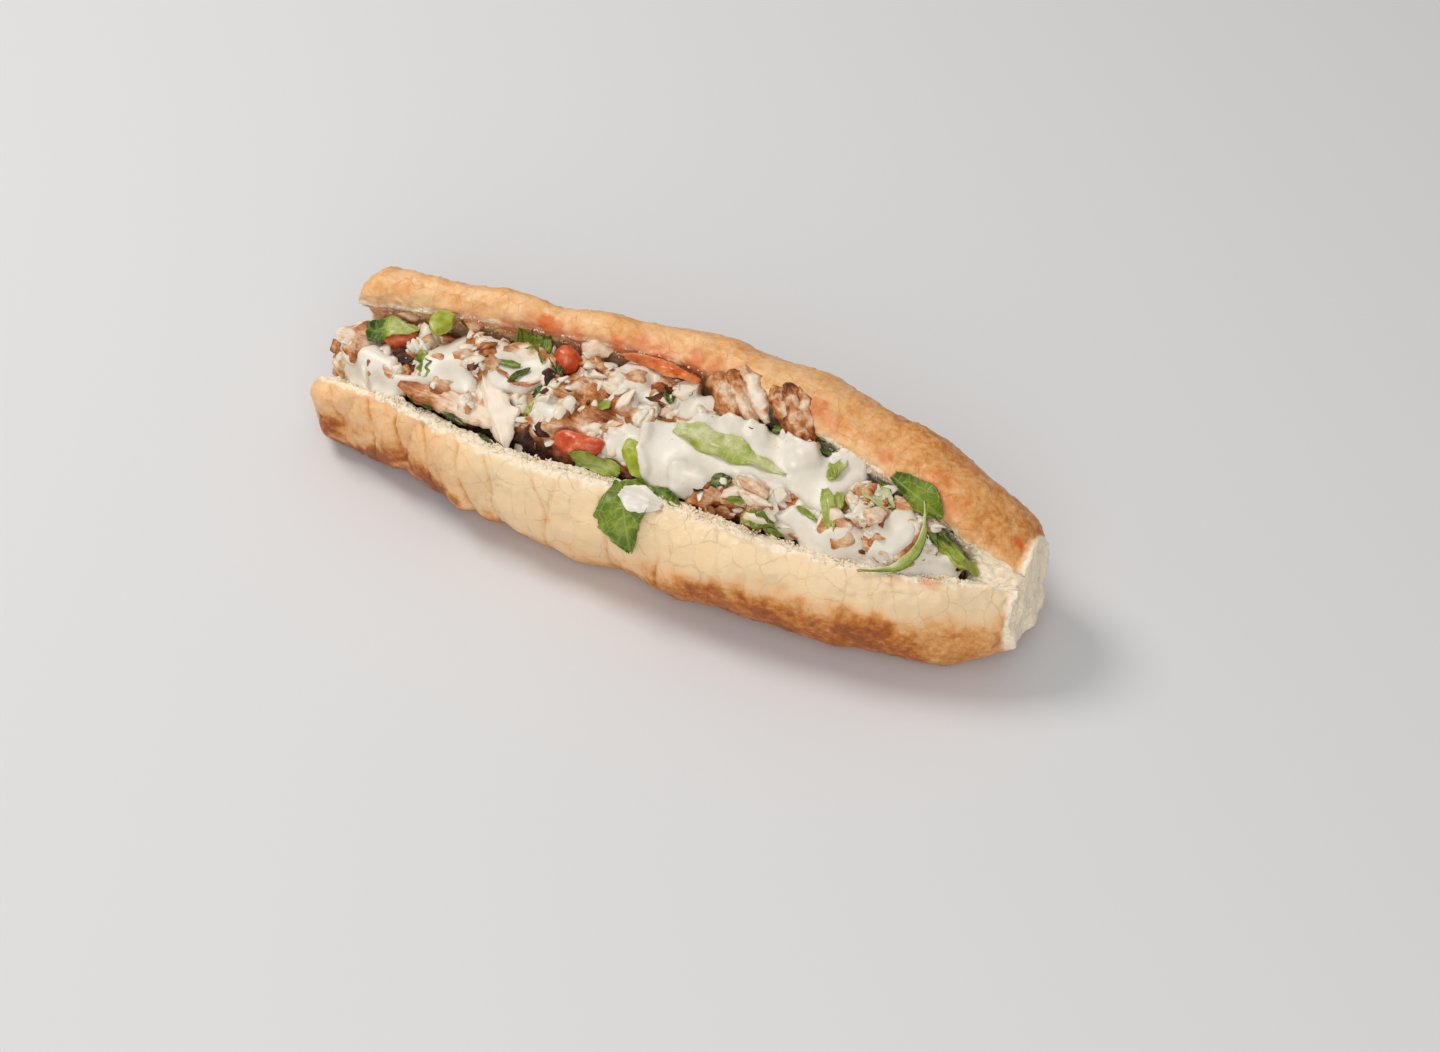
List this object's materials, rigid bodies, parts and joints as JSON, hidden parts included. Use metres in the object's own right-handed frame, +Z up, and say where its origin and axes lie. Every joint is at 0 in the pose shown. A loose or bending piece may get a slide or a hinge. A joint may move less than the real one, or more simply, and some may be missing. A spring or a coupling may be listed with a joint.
{
  "type": "filled baguette sandwich",
  "caption": "Long golden bread roll split along the top and filled with chopped chicken, creamy white sauce, tomato pieces and green leaves.",
  "frame": {"origin": "on the resting plane, under the middle of the sandwich seen from above", "axes": "+X along the roll towards its closed, cut end; +Y towards the taller back half of the roll; +Z up"},
  "size_m": [0.28, 0.0954, 0.0708],
  "materials": {
    "bread": "golden crust, off-white crumb",
    "chicken": "moist, uneven",
    "browned_chicken": "fried and spiced",
    "sauce": "creamy, satin",
    "tomato": "wet, glossy",
    "leaf": "satin",
    "rib": "satin"
  },
  "bodies": {
    "root": {"roll": "bread", "chicken_heap": "chicken", "tomato_left": "tomato", "tomato_dice": "tomato", "tomato_half": "tomato", "slice_front": "chicken", "slice_white": "chicken", "slice_curl": "chicken", "rib_left": "rib", "rib_middle": "rib", "stem": "rib", "stem_right": "rib", "slice_lid_left": "browned_chicken", "slice_lid_right": "browned_chicken", "tomato_strip": "tomato", "slice_round": "chicken", "sauce_left": "sauce", "sauce_middle": "sauce", "sauce_chunks": "sauce", "sauce_pool": "sauce", "sauce_front": "sauce", "sauce_right": "sauce", "leaf_left": "leaf", "leaf_left_small": "leaf", "leaf_curly": "leaf", "leaf_strip": "leaf", "leaf_behind": "leaf", "leaf_rim": "leaf", "leaf_on_sauce": "leaf", "leaf_front_small": "leaf", "leaf_lid": "leaf", "leaf_right": "leaf", "leaf_cup": "leaf"}
  },
  "joints": []
}
